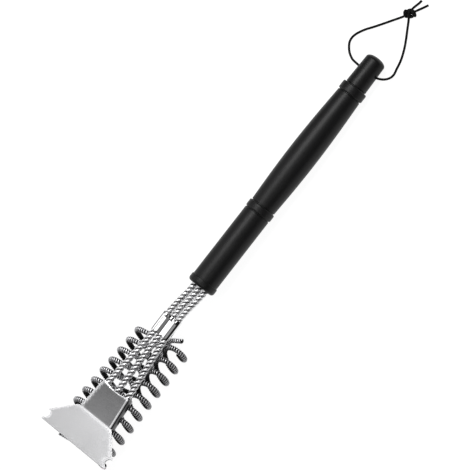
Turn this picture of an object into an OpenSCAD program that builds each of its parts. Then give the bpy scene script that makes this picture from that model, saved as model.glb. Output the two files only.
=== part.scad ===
// Long grill brush without bristles. Three twisted wire stems carry three
// rows of spring coil and end in a folded steel scraper. x runs from the
// butt of the handle to the scraper, y to the side, and z up from the
// surface that the coils and the handle's collar rest on.

/* [Handle] */
// Length of the handle from its butt to the face where the stems leave it
handle_len = 270; // [245:1:300]
// Diameter of the butt
butt_d = 20.4; // [18:0.2:24]
// Diameter at the thickest place of the grip
grip_d = 28.8; // [27:0.2:34]
// Diameter of the collar between butt and grip
collar_d = 26; // [25:0.2:30]
// Distance from the butt to the middle of the collar
collar_at = 39; // [34:1:50]
// Diameter of the ring behind the fore end
ring_d = 27.8; // [27:0.2:32]
// Distance from the butt to the middle of the ring
ring_at = 179; // [165:1:190]
// Diameter of the fore end
fore_d = 26.6; // [25:0.2:30]
// Diameter of the flange at the front of the handle
flange_d = 28.4; // [28:0.2:34]
// Diameter of the cross hole for the hang cord
hole_d = 3.4; // [2.6:0.2:5]
// Distance from the butt to the cross hole
hole_at = 16; // [11:1:22]

/* [Stems] */
// Diameter of one wire
wire_d = 2.7; // [2.1:0.1:2.9]
// Length in which the wires of a stem go round once
lay = 13.1; // [12:0.1:20]
// Play between two wires of a stem
wire_play = 0.1; // [0.04:0.01:0.16]
// Space between two stems side by side
stem_space = 0.3; // [0.2:0.1:1]
// Sideways step of the outer stems for each millimetre past the sleeve
stem_fan = 0.098; // [0.06:0.002:0.12]
// Depth of the stems in the handle
stem_seat = 18; // [12:1:30]
// Length of the stems past the bend of the scraper
stem_past = 8; // [4:1:14]

/* [Coils] */
// Diameter of the spring strand of the two outer rows
strand_d = 5.5; // [4.6:0.1:5.7]
// Radius of the outer coils at the middle of their strand
coil_r = 10; // [9.5:0.25:12]
// Step from one turn to the next in the right row and the middle row
pitch = 13.8; // [13.2:0.1:15]
// Lean of the right row's turns, as forward step for each millimetre down
lean = 0.5; // [0.4:0.05:0.6]
// Side position of the right row
right_side = 17; // [17:0.5:19]
// Diameter of the spring strand of the middle row
mid_strand_d = 5.1; // [4.2:0.1:5.2]
// Radius of the middle row's coils at the middle of their strand
mid_r = 6; // [5.5:0.25:6.25]
// Side position of the middle row
mid_side = 1; // [0.5:0.25:1.25]
// Step from one turn to the next in the left row
left_pitch = 12.4; // [12.2:0.1:13]
// Side position of the left row where it starts
left_start = 17.5; // [16.5:0.5:19]
// Side position of the left row at the front
left_front = 28; // [26:0.5:30]
// Gap between the coils and what rests on them
seat = 0.05; // [0.05:0.05:0.3]

/* [Sleeve] */
// Distance from the handle to the crimp sleeve
sleeve_at = 36.5; // [30:0.5:44]
// Length of the crimp sleeve
sleeve_len = 20.8; // [14:0.2:26]
// Wall of the crimp sleeve
sleeve_wall = 0.6; // [0.5:0.1:1.2]

/* [Scraper] */
// Thickness of the sheet
sheet = 1.2; // [0.8:0.1:1.6]
// Distance from the sleeve to the neck of the scraper
neck_at = 64.5; // [55:0.5:75]
// Length of the neck
neck_len = 31.6; // [26:0.2:40]
// Length of the blade along its slope
blade_len = 33; // [29:0.1:38]
// Width of the blade
blade_w = 83.6; // [76:0.2:96]
// Upward slope of the blade in degrees
blade_tilt = 8; // [2:0.5:14]
// Radius of the round notches at the sides of the blade
notch_r = 4.3; // [3.6:0.1:5]
// Distance from the front edge of the blade to the middle of a notch
notch_at = 6.6; // [5.4:0.1:8]

/* [Hang cord] */
// Diameter of the cord
cord_d = 1.9; // [1.6:0.1:2.4]

/* [Hidden] */
// Clearance around the stems in the handle, in the sleeve and under the scraper
fit = 0.2;
// Reach of the coils past the front edge of the blade
coil_past = 6.5;
// Where the turns of each row begin, from the end of the sleeve
left_shift = -1;
mid_shift = -6;
right_shift = -3;
// Lean of the middle row and of the left row
mid_lean = 0.3;
left_lean = 0.15;
// Half length of the collar, and the rounding of the edges of collar and ring
collar_half = 4.4;
edge_r = 1.2;
// Length over which the outer stems turn outwards, and their straight start at the handle
fan_soft = 4;
stem_flat = 2;
wires = 3;
wire_sides = 6;
rings_a_lay = 6;
strand_sides = 6;
rings_a_turn = 12;
cord_sides = 8;

// Closest approach of two neighbouring wires that circle at radius r
function closest(r) = min([for (t = [-0.25 : 0.005 : 0.25])
    norm([lay * t, r * cos(360 * t + 360 / wires) - r, r * sin(360 * t + 360 / wires)])]);
twist_r = min([for (k = [0.5 : 0.004 : 1.2])
    if (closest(k * wire_d) >= wire_d + wire_play) k * wire_d]);
stem_od = 2 * twist_r + wire_d;
stem_step = stem_od + stem_space;

// Places along the brush, measured from the butt
sleeve_x = handle_len + sleeve_at;
sleeve_end = sleeve_x + sleeve_len;
neck_x = sleeve_end + neck_at;
bend_x = neck_x + neck_len;
stem_end = bend_x + stem_past;
blade_x = bend_x + blade_len * cos(blade_tilt);
// Front end of the coils, and the whole turns of the right row up to it
coils_front = blade_x + coil_past - strand_d / 2;
turns = round((coils_front - lean * coil_r - sleeve_end - right_shift) / pitch - 0.25);

// Heights above the resting surface
ring_out = coil_r + strand_d / 2;
stem_z = 2 * ring_out + seat + stem_od / 2;
// The handle slopes from the coils down to its collar
slope = asin((2 * ring_out - strand_d / 2 - collar_d / 2) / (sleeve_end - collar_at));
axis_z0 = collar_d / 2 * cos(slope) - (collar_at - collar_half + edge_r) * sin(slope);
function axis_z(x) = axis_z0 + x * tan(slope);

// Overall length, so that the origin is under the middle of the brush
front_x = sleeve_end + right_shift + pitch * (turns + 0.25) + lean * coil_r + strand_d / 2;
mid_x = front_x / 2;

function ease(t) = t <= 0 ? 0 : t >= 1 ? 1 : t * t * (3 - 2 * t);
function ramp(t) = (t + sqrt(t * t + fan_soft * fan_soft)) / 2;
// Side and height of a stem: side is -1, 0 or 1
function stem_y(side, x) = side * (stem_step + stem_fan * ramp(x - sleeve_end));
function stem_h(x) = let (f = ease((x - handle_len - stem_flat) / (sleeve_at - 1.5 * stem_flat)))
    axis_z(min(x, sleeve_x)) * (1 - f) + stem_z * f;

function unit(v) = v / norm(v);
function ring_points(centre, e1, e2, r, n) =
    [for (k = [0 : n - 1]) centre + r * (cos(360 * k / n) * e1 + sin(360 * k / n) * e2)];
// Faces of a closed tube of m rings with n points each
function tube_faces(m, n) = concat(
    [[for (k = [0 : n - 1]) k]],
    [for (i = [0 : m - 2], k = [0 : n - 1])
        [i * n + k, (i + 1) * n + k, (i + 1) * n + (k + 1) % n, i * n + (k + 1) % n]],
    [[for (k = [n - 1 : -1 : 0]) (m - 1) * n + k]]);

// Tube along a list of points, with its rings kept square to the path
function along(p, i) = unit(p[min(i + 1, len(p) - 1)] - p[max(i - 1, 0)]);
function turned(v, t) = unit(v - (v * t) * t);
function frames(p, i, v) = i == len(p) ? [] :
    let (w = turned(v, along(p, i))) concat([w], frames(p, i + 1, w));
function rings(p, f, r, n) = [for (i = [0 : len(p) - 1])
    ring_points(p[i], f[i], cross(along(p, i), f[i]), r, n)];
module skin(list) {
    polyhedron(points = [for (ring = list) each ring], faces = tube_faces(len(list), len(list[0])));
}
module tube(p, r, n, first) skin(rings(p, frames(p, 0, first), r, n));

// One wire of a stem
module wire(side, turn) {
    x0 = handle_len - stem_seat;
    steps = ceil((stem_end - x0) / lay * rings_a_lay);
    path = [for (i = [0 : steps]) let (
        x = x0 + (stem_end - x0) * i / steps,
        a = 360 * x / lay + turn)
        [x, stem_y(side, x) + twist_r * cos(a), stem_h(x) + twist_r * sin(a)]];
    color([0.78, 0.79, 0.8]) tube(path, wire_d / 2, wire_sides, [0, 0, 1]);
}

// Rows: side position, place and height of the axis, step, radius, lean, and hand,
// which is -1 for the outer rows and 1 for the middle one
left_row = [-left_start, sleeve_end + left_shift, ring_out, left_pitch, coil_r, left_lean, -1];
mid_row = [mid_side, sleeve_end + mid_shift, 2 * ring_out + 4 * seat - mid_r - mid_strand_d / 2, pitch, mid_r, mid_lean, 1];
right_row = [right_side, sleeve_end + right_shift, ring_out, pitch, coil_r, lean, -1];
function row_y(row, x) = row[0] - (row == left_row ? (left_front - left_start) * (x - sleeve_end) / (blade_x - sleeve_end) : 0);
function coil_point(row, a) = let (
    z = row[6] * row[4] * sin(a),
    x = row[1] + row[3] * a / 360)
    [x - row[5] * z, row_y(row, x) - row[4] * cos(a), row[2] + z];
function coil_path(row, a0, a1) =
    [for (i = [0 : ceil((a1 - a0) / 360 * rings_a_turn)])
        coil_point(row, a0 + i * 360 / rings_a_turn)];

module coil(path, d) {
    color([0.6, 0.61, 0.62]) tube(path, d / 2, strand_sides, [0, 0, 1]);
}

module coil_left() {
    joint = coil_point(left_row, 240);
    start = [joint + [-2.5, 4.6, 1.8], joint + [-1.5, 2.2, 1.5]];
    last = 360 * (coils_front - 1 - left_row[1]) / left_pitch;
    coil(concat(start, coil_path(left_row, 240, last)), strand_d);
}

module coil_mid() {
    joint = coil_point(mid_row, 180);
    start = [joint + [-9, 12.5, 5], joint + [-5.6, 6.4, 3.9], joint + [-3.6, 2.9, 2.9], joint + [-1.7, 0.7, 1.5]];
    coil(concat(start, coil_path(mid_row, 180, 360 * (turns - 1) + 330)), mid_strand_d);
}

module coil_right() {
    coil(coil_path(right_row, 80, 360 * turns + 150), strand_d);
}

// Handle, turned about its own axis and laid on its slope
function arc(x, y, r, from, to, n) = [for (i = [0 : n])
    let (a = from + (to - from) * i / n) [x + r * cos(a), y + r * sin(a)]];
module handle_profile() {
    dome = 5;
    groove = 1.1;
    ring_half = 3.8;
    grip_from = collar_at + collar_half + groove;
    grip_to = ring_at - ring_half - groove;
    grip_mid = grip_from + (grip_to - grip_from) * 0.54;
    back_r = collar_d / 2 - 0.8;
    front_r = ring_d / 2 - 1.1;
    lip = 3;
    flange_x = handle_len - 7.6;
    polygon(concat(
        // Domed butt and the slim stretch up to the collar
        [for (i = [0 : 7]) let (x = dome * pow(i / 7, 1.8))
            [x, butt_d / 2 * pow(1 - pow(1 - x / dome, 2.2), 1 / 2.2)]],
        [[collar_at - collar_half - groove, butt_d / 2 + 0.7], [collar_at - collar_half - groove / 2, butt_d / 2 + 0.1],
            [collar_at - collar_half, butt_d / 2 + 0.1]],
        // Collar
        arc(collar_at - collar_half + edge_r, collar_d / 2 - edge_r, edge_r, 180, 90, 4),
        arc(collar_at + collar_half - edge_r, collar_d / 2 - edge_r, edge_r, 90, 0, 4),
        [[collar_at + collar_half, back_r - 0.9], [collar_at + collar_half + groove / 2, back_r - 0.9]],
        // Swelling grip
        [for (i = [0 : 12]) let (x = grip_from + (grip_mid - grip_from) * i / 12)
            [x, back_r + (grip_d / 2 - back_r) * sin(90 * i / 12)]],
        [for (i = [1 : 10]) let (x = grip_mid + (grip_to - grip_mid) * i / 10)
            [x, front_r + (grip_d / 2 - front_r) * cos(90 * i / 10)]],
        // Ring with a groove on each side
        [[grip_to + 0.3, front_r - 0.7], [ring_at - ring_half, front_r - 0.7]],
        arc(ring_at - ring_half + edge_r, ring_d / 2 - edge_r, edge_r, 180, 90, 4),
        arc(ring_at + ring_half - edge_r, ring_d / 2 - edge_r, edge_r, 90, 0, 4),
        [[ring_at + ring_half, fore_d / 2 - 0.8], [ring_at + ring_half + 0.6, fore_d / 2 - 0.8]],
        // Fore end and flange
        arc(ring_at + ring_half + 0.6 + 0.8, fore_d / 2 - 0.8, 0.8, 180, 90, 3),
        [[flange_x, fore_d / 2]],
        arc(flange_x + 0.8, flange_d / 2 - 0.8, 0.8, 180, 90, 3),
        arc(handle_len - lip, flange_d / 2 - lip, lip, 90, 0, 6),
        [[handle_len, 0]]));
}

module handle() {
    color([0.1, 0.1, 0.1])
    translate([0, 0, axis_z0]) rotate([0, -slope, 0]) difference() {
        rotate([0, 90, 0]) rotate([0, 0, 90])
            rotate_extrude($fn = 96) rotate([0, 0, 90]) mirror([0, 1]) handle_profile();
        // Slot for the three stems
        translate([handle_len - stem_seat - 1, 0, 0]) {
            translate([0, -stem_step, -stem_od / 2 - fit]) cube([stem_seat + 9, 2 * stem_step, stem_od + 2 * fit]);
            for (side = [-1, 1])
                translate([0, side * stem_step, 0]) rotate([0, 90, 0])
                    cylinder(h = stem_seat + 9, r = stem_od / 2 + fit, $fn = 40);
        }
        // Cross hole with rounded mouths
        translate([hole_at, 0, 0]) rotate([90, 0, 0])
            cylinder(h = 2 * grip_d, d = hole_d, center = true, $fn = 32);
    }
}

// Sleeve crimped over the three stems, with a shallow valley between them
module sleeve_outline(grow, bar) {
    for (side = [-1 : 1])
        translate([side * stem_step, 0]) circle(r = stem_od / 2 + grow, $fn = 48);
    translate([-stem_step, -bar]) square([2 * stem_step, 2 * bar]);
}

module crimp_sleeve() {
    color([0.86, 0.87, 0.88])
    translate([sleeve_x, 0, stem_z]) rotate([90, 0, 90])
        linear_extrude(sleeve_len) difference() {
            sleeve_outline(fit + sleeve_wall, stem_od / 2 - 0.5);
            sleeve_outline(fit, stem_od / 2 - 1);
        }
}

// Half width of the scraper's neck at a place along the brush
function neck_half(x) = stem_y(1, x) + stem_od / 2 + fit + sheet;
neck_top = stem_z + stem_od / 2 + fit + sheet;
neck_low = stem_z - stem_od / 2;

module neck_section(x, inset, low) {
    translate([x, 0, 0]) rotate([90, 0, 90]) linear_extrude(0.01) {
        w = neck_half(x) - inset;
        top = neck_top - inset;
        r = 3.2 - inset;
        translate([-w, low]) square([2 * w, top - r - low]);
        translate([-w + r, low]) square([2 * w - 2 * r, top - low]);
        for (side = [-1, 1]) translate([side * (w - r), top - r]) circle(r = r, $fn = 32);
    }
}

module blade_outline() {
    root = neck_half(bend_x);
    tip = blade_w / 2;
    shoulder = blade_len - notch_at - notch_r;
    difference() {
        union() {
            polygon([[-1.2, -root], [0, -root], [shoulder, -tip], [blade_len, -tip],
                [blade_len, tip], [shoulder, tip], [0, root], [-1.2, root]]);
        }
        for (side = [-1, 1])
            translate([blade_len - notch_at, side * tip]) circle(r = notch_r, $fn = 48);
    }
}

module scraper() {
    color([0.74, 0.75, 0.76]) {
        difference() {
            hull() {
                neck_section(neck_x, 0, neck_low);
                neck_section(bend_x, 0, neck_low);
            }
            hull() {
                neck_section(neck_x - 0.1, sheet, neck_low - 1);
                neck_section(bend_x + 0.1, sheet, neck_low - 1);
            }
        }
        translate([bend_x, 0, neck_top]) rotate([0, -blade_tilt, 0])
            translate([0, 0, -sheet]) linear_extrude(sheet) blade_outline();
    }
}

// Route of the hang cord from the left mouth of the hole, by the knot, to the right
// mouth. The points are chosen by hand, measured from the butt and the middle.
cord_left = [[16, -10.6, 12.6], [15.7, -14, 12.2], [15.4, -18, 10], [14.8, -23, 6.6], [13.2, -28, 3.4],
    [11, -32.4, 1.4], [7.4, -36, 0.98], [3.4, -38.6, 0.98], [-1.2, -39.4, 0.98], [-6.4, -38.2, 0.98],
    [-14.2, -33.8, 0.98], [-21, -28.4, 0.98], [-28, -23, 0.98], [-35, -17.8, 0.98],
    [-40.4, -13.8, 0.98], [-45, -10.4, 1.3], [-49, -7.6, 2.4]];
cord_right = [[16, 10.6, 12.6], [15.2, 13, 12.2], [13.4, 15.6, 9.6], [10.6, 17.4, 6], [6.8, 18.2, 2.8],
    [2.6, 18, 1.2], [-2.2, 16.9, 0.98], [-7.4, 15.9, 0.98], [-12.2, 14.6, 0.98], [-17.4, 12.6, 0.98],
    [-23, 10, 0.98], [-30.2, 6, 0.98], [-37.6, 1.4, 0.98], [-42.2, -1.4, 0.98], [-45.2, -3.2, 1.3], [-49, -5.4, 2.4]];
cord_in = [[16, -9, 12.6], [16, -5, 12.6], [16, 0, 12.6], [16, 5, 12.6], [16, 9, 12.6]];
function back(list) = [for (i = [len(list) - 1 : -1 : 0]) list[i]];

cord_route = concat(back(cord_left), cord_in, cord_right);
cord_rings = rings(cord_route, frames(cord_route, 0, [0, 0, 1]), cord_d / 2, cord_sides);
cord_last = len(cord_route) - 1;

// The cord ends where it meets the knot; the last stretch of each end is the knot's
module hang_cord() {
    color([0.08, 0.08, 0.08]) skin([for (i = [1 : cord_last - 1]) cord_rings[i]]);
}

// Overhand knot of both strands, with its two short tails
tail_a = [[-53, -6.6, 1.8], [-56, -7.4, 1], [-60, -6.6, 0.98], [-64, -5.4, 0.98], [-68, -4.8, 0.98]];
tail_b = [[-53, -4.6, 1.8], [-56, -3.4, 1], [-60, -1, 0.98], [-64, 1.4, 0.98], [-68, 3.6, 0.98]];
module cord_knot() {
    color([0.08, 0.08, 0.08]) {
        translate([-50.4, -6.2, 3.1]) {
            scale([0.8, 0.7, 0.5]) sphere(r = 4.6, $fn = 24);
            rotate([0, 0, 32]) rotate([0, 62, 0])
                rotate_extrude($fn = 24) translate([2.3, 0]) circle(d = cord_d, $fn = 16);
            rotate([0, 0, 40]) rotate([0, 90, 0]) translate([0, 0, 1.6])
                rotate_extrude($fn = 24) translate([1.9, 0]) circle(d = cord_d, $fn = 16);
        }
        skin([cord_rings[0], cord_rings[1]]);
        skin([cord_rings[cord_last - 1], cord_rings[cord_last]]);
        tube(tail_a, cord_d / 2, cord_sides, [0, 0, 1]);
        tube(tail_b, cord_d / 2, cord_sides, [0, 0, 1]);
    }
}

module place() translate([-mid_x, 0, 0]) children();

place() handle();
place() wire(-1, 0);  // stem_left_wire_a
place() wire(-1, 120);  // stem_left_wire_b
place() wire(-1, 240);  // stem_left_wire_c
place() wire(0, 0);  // stem_mid_wire_a
place() wire(0, 120);  // stem_mid_wire_b
place() wire(0, 240);  // stem_mid_wire_c
place() wire(1, 0);  // stem_right_wire_a
place() wire(1, 120);  // stem_right_wire_b
place() wire(1, 240);  // stem_right_wire_c
place() coil_left();
place() coil_mid();
place() coil_right();
place() crimp_sleeve();
place() scraper();
place() hang_cord();
place() cord_knot();
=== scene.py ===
"""Grill brush: three twisted wire stems over three rows of spring coil, a folded
scraper and a round handle with a hang cord, built piece by piece on its frame.
Sizes in the groups are in metres; the working code counts in millimetres from
the butt of the handle, with y to the side and z up from the resting surface."""
from math import asin, copysign, cos, pi, radians, sin, sqrt, tan
from types import SimpleNamespace as Sizes

import bmesh
import bpy
import numpy as np
from bpy.props import FloatProperty, FloatVectorProperty, PointerProperty
from mathutils import Matrix, Vector


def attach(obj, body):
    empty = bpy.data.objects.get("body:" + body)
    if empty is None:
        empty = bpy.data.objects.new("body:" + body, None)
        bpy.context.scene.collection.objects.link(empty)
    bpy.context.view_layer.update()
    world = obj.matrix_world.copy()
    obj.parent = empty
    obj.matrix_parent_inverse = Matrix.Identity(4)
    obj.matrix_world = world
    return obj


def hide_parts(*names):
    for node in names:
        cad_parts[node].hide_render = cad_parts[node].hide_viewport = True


bl_info = {
    "name": "Grill Brush",
    "version": (1, 0, 0),
    "blender": (4, 5, 0),
    "location": "3D View > Sidebar > Grill Brush",
    "description": "Builds a bristle-free grill brush with coils, twisted stems and scraper",
    "category": "Add Mesh",
}

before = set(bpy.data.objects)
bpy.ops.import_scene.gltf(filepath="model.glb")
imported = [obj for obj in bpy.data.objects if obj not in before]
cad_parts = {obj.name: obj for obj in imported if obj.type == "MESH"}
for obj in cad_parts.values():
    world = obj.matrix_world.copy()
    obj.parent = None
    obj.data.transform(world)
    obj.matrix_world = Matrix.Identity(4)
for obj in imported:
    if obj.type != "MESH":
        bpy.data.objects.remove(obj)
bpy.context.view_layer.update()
BODY = "root"


# Sizes and colours that a user would change

def length(name, value, description):
    return FloatProperty(name=name, description=description, default=value,
                         min=0.0, precision=4, subtype="DISTANCE", unit="LENGTH")


def number(name, value, high, description):
    return FloatProperty(name=name, description=description, default=value, min=0.0, max=high)


def slant(name, degrees, description):
    return FloatProperty(name=name, description=description, default=radians(degrees),
                         subtype="ANGLE", unit="ROTATION")


def colour(name, value, description):
    return FloatVectorProperty(name=name, description=description, default=value,
                               size=3, min=0.0, max=1.0, subtype="COLOR")


class HandleSizes(bpy.types.PropertyGroup):
    """Sizes of the moulded handle"""
    long: length("Length", 0.270, "From the butt to the front face")
    butt: length("Butt", 0.0204, "Diameter of the butt")
    grip: length("Grip", 0.0288, "Diameter of the grip at its thickest")
    collar: length("Collar", 0.026, "Diameter of the collar between butt and grip")
    collar_at: length("Collar place", 0.039, "From the butt to the middle of the collar")
    collar_half: length("Collar half length", 0.0044, "Half length of the collar")
    ring: length("Ring", 0.0278, "Diameter of the ring behind the fore end")
    ring_at: length("Ring place", 0.179, "From the butt to the middle of the ring")
    ring_half: length("Ring half length", 0.0038, "Half length of the ring")
    fore: length("Fore end", 0.0266, "Diameter of the fore end")
    flange: length("Flange", 0.0284, "Diameter of the flange at the front")
    hole: length("Cord hole", 0.0034, "Diameter of the cross hole for the cord")
    hole_at: length("Cord hole place", 0.016, "From the butt to the cross hole")
    edge: length("Edge rounding", 0.0012, "Rounding of the edges of collar and ring")


class StemSizes(bpy.types.PropertyGroup):
    """Sizes of the twisted wire stems"""
    wire: length("Wire", 0.0027, "Diameter of one wire")
    lay: length("Lay", 0.0131, "Length in which the wires go round once")
    play: length("Play", 0.0001, "Play between two wires of a stem")
    space: length("Space", 0.0003, "Space between two stems side by side")
    fan: number("Fan", 0.098, 0.3, "Sideways step of the outer stems for each length forward")
    seat: length("Seat", 0.018, "Depth of the stems in the handle")
    past: length("Past the bend", 0.008, "Length of the stems past the scraper's bend")


class CoilSizes(bpy.types.PropertyGroup):
    """Sizes of the rows of coil"""
    strand: length("Strand", 0.0055, "Outer diameter of the outer rows' strand")
    rib: length("Rib", 0.0021, "Thickness of the spring wire in the strand")
    radius: length("Radius", 0.010, "Radius of an outer coil at the middle of its strand")
    step: length("Step", 0.0138, "Step between turns of the right and the middle row")
    lean: number("Lean", 0.5, 1.0, "Forward step of the right row's turns for each length down")
    right_side: length("Right side", 0.017, "Side place of the right row")
    mid_strand: length("Middle strand", 0.0051, "Outer diameter of the middle row's strand")
    mid_radius: length("Middle radius", 0.006, "Radius of a middle coil at the middle of its strand")
    mid_side: length("Middle side", 0.001, "Side place of the middle row")
    left_step: length("Left step", 0.0124, "Step between turns of the left row")
    left_start: length("Left start", 0.0175, "Side place of the left row at the sleeve")
    left_front: length("Left front", 0.028, "Side place of the left row at the front")
    seat: length("Seat", 0.00005, "Gap between the coils and the stems on them")


class SleeveSizes(bpy.types.PropertyGroup):
    """Sizes of the crimp sleeve"""
    at: length("Place", 0.0365, "From the handle to the sleeve")
    long: length("Length", 0.0208, "Length of the sleeve")
    wall: length("Wall", 0.0006, "Wall of the sleeve")
    fit: length("Fit", 0.0002, "Clearance around the stems")


class ScraperSizes(bpy.types.PropertyGroup):
    """Sizes of the folded scraper"""
    sheet: length("Sheet", 0.0012, "Thickness of the sheet")
    neck_at: length("Neck place", 0.0645, "From the sleeve to the neck")
    neck_long: length("Neck length", 0.0316, "Length of the neck")
    blade_long: length("Blade length", 0.0330, "Length of the blade along its slope")
    blade_wide: length("Blade width", 0.0836, "Width of the blade")
    slope: slant("Blade slope", 8, "Upward slope of the blade")
    fold: length("Fold radius", 0.0032, "Outer radius of the folds of the neck")
    notch: length("Notch radius", 0.0043, "Radius of the notches at the sides")
    notch_at: length("Notch place", 0.0066, "From the front edge to the middle of a notch")


class CordSizes(bpy.types.PropertyGroup):
    """Size of the hang cord"""
    thick: length("Cord", 0.0023, "Diameter of the cord")


class Finishes(bpy.types.PropertyGroup):
    """Colours of the brush's finishes"""
    plastic: colour("Handle plastic", (0.0035, 0.0035, 0.0037), "Black moulded plastic")
    wire: colour("Stem wire", (0.90, 0.90, 0.91), "Bright drawn wire")
    strand: colour("Coil strand", (0.40, 0.40, 0.41), "Grey wound spring wire")
    sheet: colour("Scraper sheet", (0.63, 0.63, 0.64), "Satin sheet steel")
    sleeve: colour("Sleeve", (0.86, 0.86, 0.87), "Polished sheet")
    cord: colour("Cord", (0.003, 0.003, 0.0032), "Black braid")


class StageValues(bpy.types.PropertyGroup):
    """Camera and light"""
    distance: length("Camera distance", 4.0, "From the camera to the middle of the brush")
    elevation: slant("Camera elevation", 65, "Height angle of the camera")
    focal: number("Focal length", 329.4, 500, "Focal length in millimetres on a 36 mm sensor")
    world: number("World", 0.12, 2, "Strength of the light from all round")
    key: number("Key light", 0.76, 50, "Brightness of the light over the stems")
    grip: number("Handle light", 12.0, 50, "Brightness of the light over the handle")
    side: number("Side light", 1.1, 50, "Brightness of the upright light on the left")
    front: number("Front light", 1.7, 50, "Brightness of the light over the near side")


class BrushSettings(bpy.types.PropertyGroup):
    """All groups of the grill brush"""
    handle: PointerProperty(type=HandleSizes, name="Handle")
    stems: PointerProperty(type=StemSizes, name="Stems")
    coils: PointerProperty(type=CoilSizes, name="Coils")
    sleeve: PointerProperty(type=SleeveSizes, name="Sleeve")
    scraper: PointerProperty(type=ScraperSizes, name="Scraper")
    cord: PointerProperty(type=CordSizes, name="Hang cord")
    finishes: PointerProperty(type=Finishes, name="Finishes")
    stage: PointerProperty(type=StageValues, name="Stage")


class Plan:
    """Places and sizes of the brush in millimetres, worked out from the groups"""
    coils_past = 6.5
    open_turn = 0.25
    left_tuck, mid_tuck, right_tuck = 1, 6, 3
    left_lean, mid_lean = 0.15, 0.3

    def __init__(self, brush):
        groups = brush.handle, brush.stems, brush.coils, brush.sleeve, brush.scraper
        handle, stems, coils, sleeve, scraper = (self.counted(group) for group in groups)
        self.handle, self.stems, self.coils, self.sleeve, self.scraper = (
            handle, stems, coils, sleeve, scraper)
        self.twist = self.rope_radius(stems.wire, stems.lay, stems.play)
        self.stem_od = 2 * self.twist + stems.wire
        self.stem_step = self.stem_od + stems.space
        self.stem_hole = self.stem_od / 2 + sleeve.fit
        self.sleeve_x = handle.long + sleeve.at
        self.sleeve_end = self.sleeve_x + sleeve.long
        self.neck_x = self.sleeve_end + scraper.neck_at
        self.bend_x = self.neck_x + scraper.neck_long
        self.blade_x = self.bend_x + scraper.blade_long * cos(scraper.slope)
        self.ring_out = coils.radius + coils.strand / 2
        self.coils_front = self.blade_x + self.coils_past - coils.strand / 2
        right_at = self.sleeve_end - self.right_tuck
        reach = self.coils_front - coils.lean * coils.radius - right_at
        self.turns = round(reach / coils.step - self.open_turn)
        self.stem_z = 2 * self.ring_out + coils.seat + self.stem_od / 2
        front = right_at + coils.step * (self.turns + self.open_turn)
        self.middle = (front + coils.lean * coils.radius + coils.strand / 2) / 2
        rise = 2 * self.ring_out - coils.strand / 2 - handle.collar / 2
        self.tilt = asin(rise / (self.sleeve_end - handle.collar_at))
        low = handle.collar_at - handle.collar_half + handle.edge
        self.axis_0 = handle.collar / 2 * cos(self.tilt) - low * sin(self.tilt)
        self.neck_top = self.stem_z + self.stem_hole + scraper.sheet
        self.neck_low = self.stem_z - self.stem_od / 2
        outer = Sizes(high=self.ring_out, radius=coils.radius, strand=coils.strand, hand=-1)
        self.left_row = Sizes(**vars(outer), side=-coils.left_start, step=coils.left_step,
                              at=self.sleeve_end - self.left_tuck, lean=self.left_lean)
        self.right_row = Sizes(**vars(outer), side=coils.right_side, step=coils.step,
                               at=right_at, lean=coils.lean)
        high = 2 * self.ring_out + 4 * coils.seat - coils.mid_radius - coils.mid_strand / 2
        self.mid_row = Sizes(high=high, radius=coils.mid_radius, strand=coils.mid_strand, hand=1,
                             side=coils.mid_side, step=coils.step,
                             at=self.sleeve_end - self.mid_tuck, lean=self.mid_lean)

    @staticmethod
    def counted(group):
        """Numbers of a group, with its lengths in millimetres"""
        return Sizes(**{p.identifier: getattr(group, p.identifier) * (1000 if p.unit == "LENGTH" else 1)
                        for p in group.bl_rna.properties if p.type == "FLOAT"})

    @staticmethod
    def rope_radius(wire, lay, play):
        """Radius at which three wires of a rope just clear each other"""
        turn = np.linspace(-0.25, 0.25, 401)
        for radius in np.arange(0.5, 1.2, 0.002) * wire:
            angle = 2 * pi * (turn + 1 / 3)
            gap = np.sqrt((lay * turn) ** 2 + (radius * np.cos(angle) - radius) ** 2
                          + (radius * np.sin(angle)) ** 2)
            if gap.min() >= wire + play:
                return float(radius)
        raise RuntimeError("the wires of a stem find no room")

    def axis_z(self, x):
        """Height of the handle's axis"""
        return self.axis_0 + x * tan(self.tilt)

    def stem_y(self, side, x):
        """Side place of a stem: the outer ones fan out past the sleeve"""
        past = x - self.sleeve_end
        ramp = (past + np.sqrt(past * past + 16)) / 2
        return side * (self.stem_step + self.stems.fan * ramp)

    def stem_h(self, x):
        """Height of the stems, eased from the handle's axis to the level of the sleeve"""
        part = np.clip((x - self.handle.long - 2) / (self.sleeve.at - 3), 0, 1)
        eased = part * part * (3 - 2 * part)
        return self.axis_z(np.minimum(x, self.sleeve_x)) * (1 - eased) + self.stem_z * eased

    def row_y(self, row, x):
        """Side place of a row: the left one runs outwards to the front"""
        if row is not self.left_row:
            return 0 * x + row.side
        part = (x - self.sleeve_end) / (self.blade_x - self.sleeve_end)
        return row.side - (self.coils.left_front - self.coils.left_start) * part

    def coil_point(self, row, angle):
        """Point of a row's strand at an angle in degrees"""
        angle = np.asarray(angle, float)
        z = row.hand * row.radius * np.sin(np.radians(angle))
        x = row.at + row.step * angle / 360
        y = self.row_y(row, x) - row.radius * np.cos(np.radians(angle))
        return np.stack([x - row.lean * z, y, row.high + z], axis=-1)

    def neck_half(self, x):
        """Half width of the scraper's neck over the stems"""
        return self.stem_y(1, x) + self.stem_hole + self.scraper.sheet

    def tilted(self, points):
        """Points along the handle's own axis, laid on its slope"""
        x, y, z = np.asarray(points, float).T
        c, s = cos(self.tilt), sin(self.tilt)
        return np.stack([x * c - z * s, y, self.axis_0 + x * s + z * c], axis=-1)

    def world(self, points):
        """Metres in the frame of the part, from millimetres along the brush"""
        return (np.asarray(points, float) - [self.middle, 0, 0]) / 1000


# Mesh helpers

def unit(v):
    return v / np.linalg.norm(v, axis=-1, keepdims=True)


def along_line(points):
    """Length of a line up to each of its points"""
    return np.concatenate([[0], np.cumsum(np.linalg.norm(np.diff(points, axis=0), axis=1))])


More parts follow.
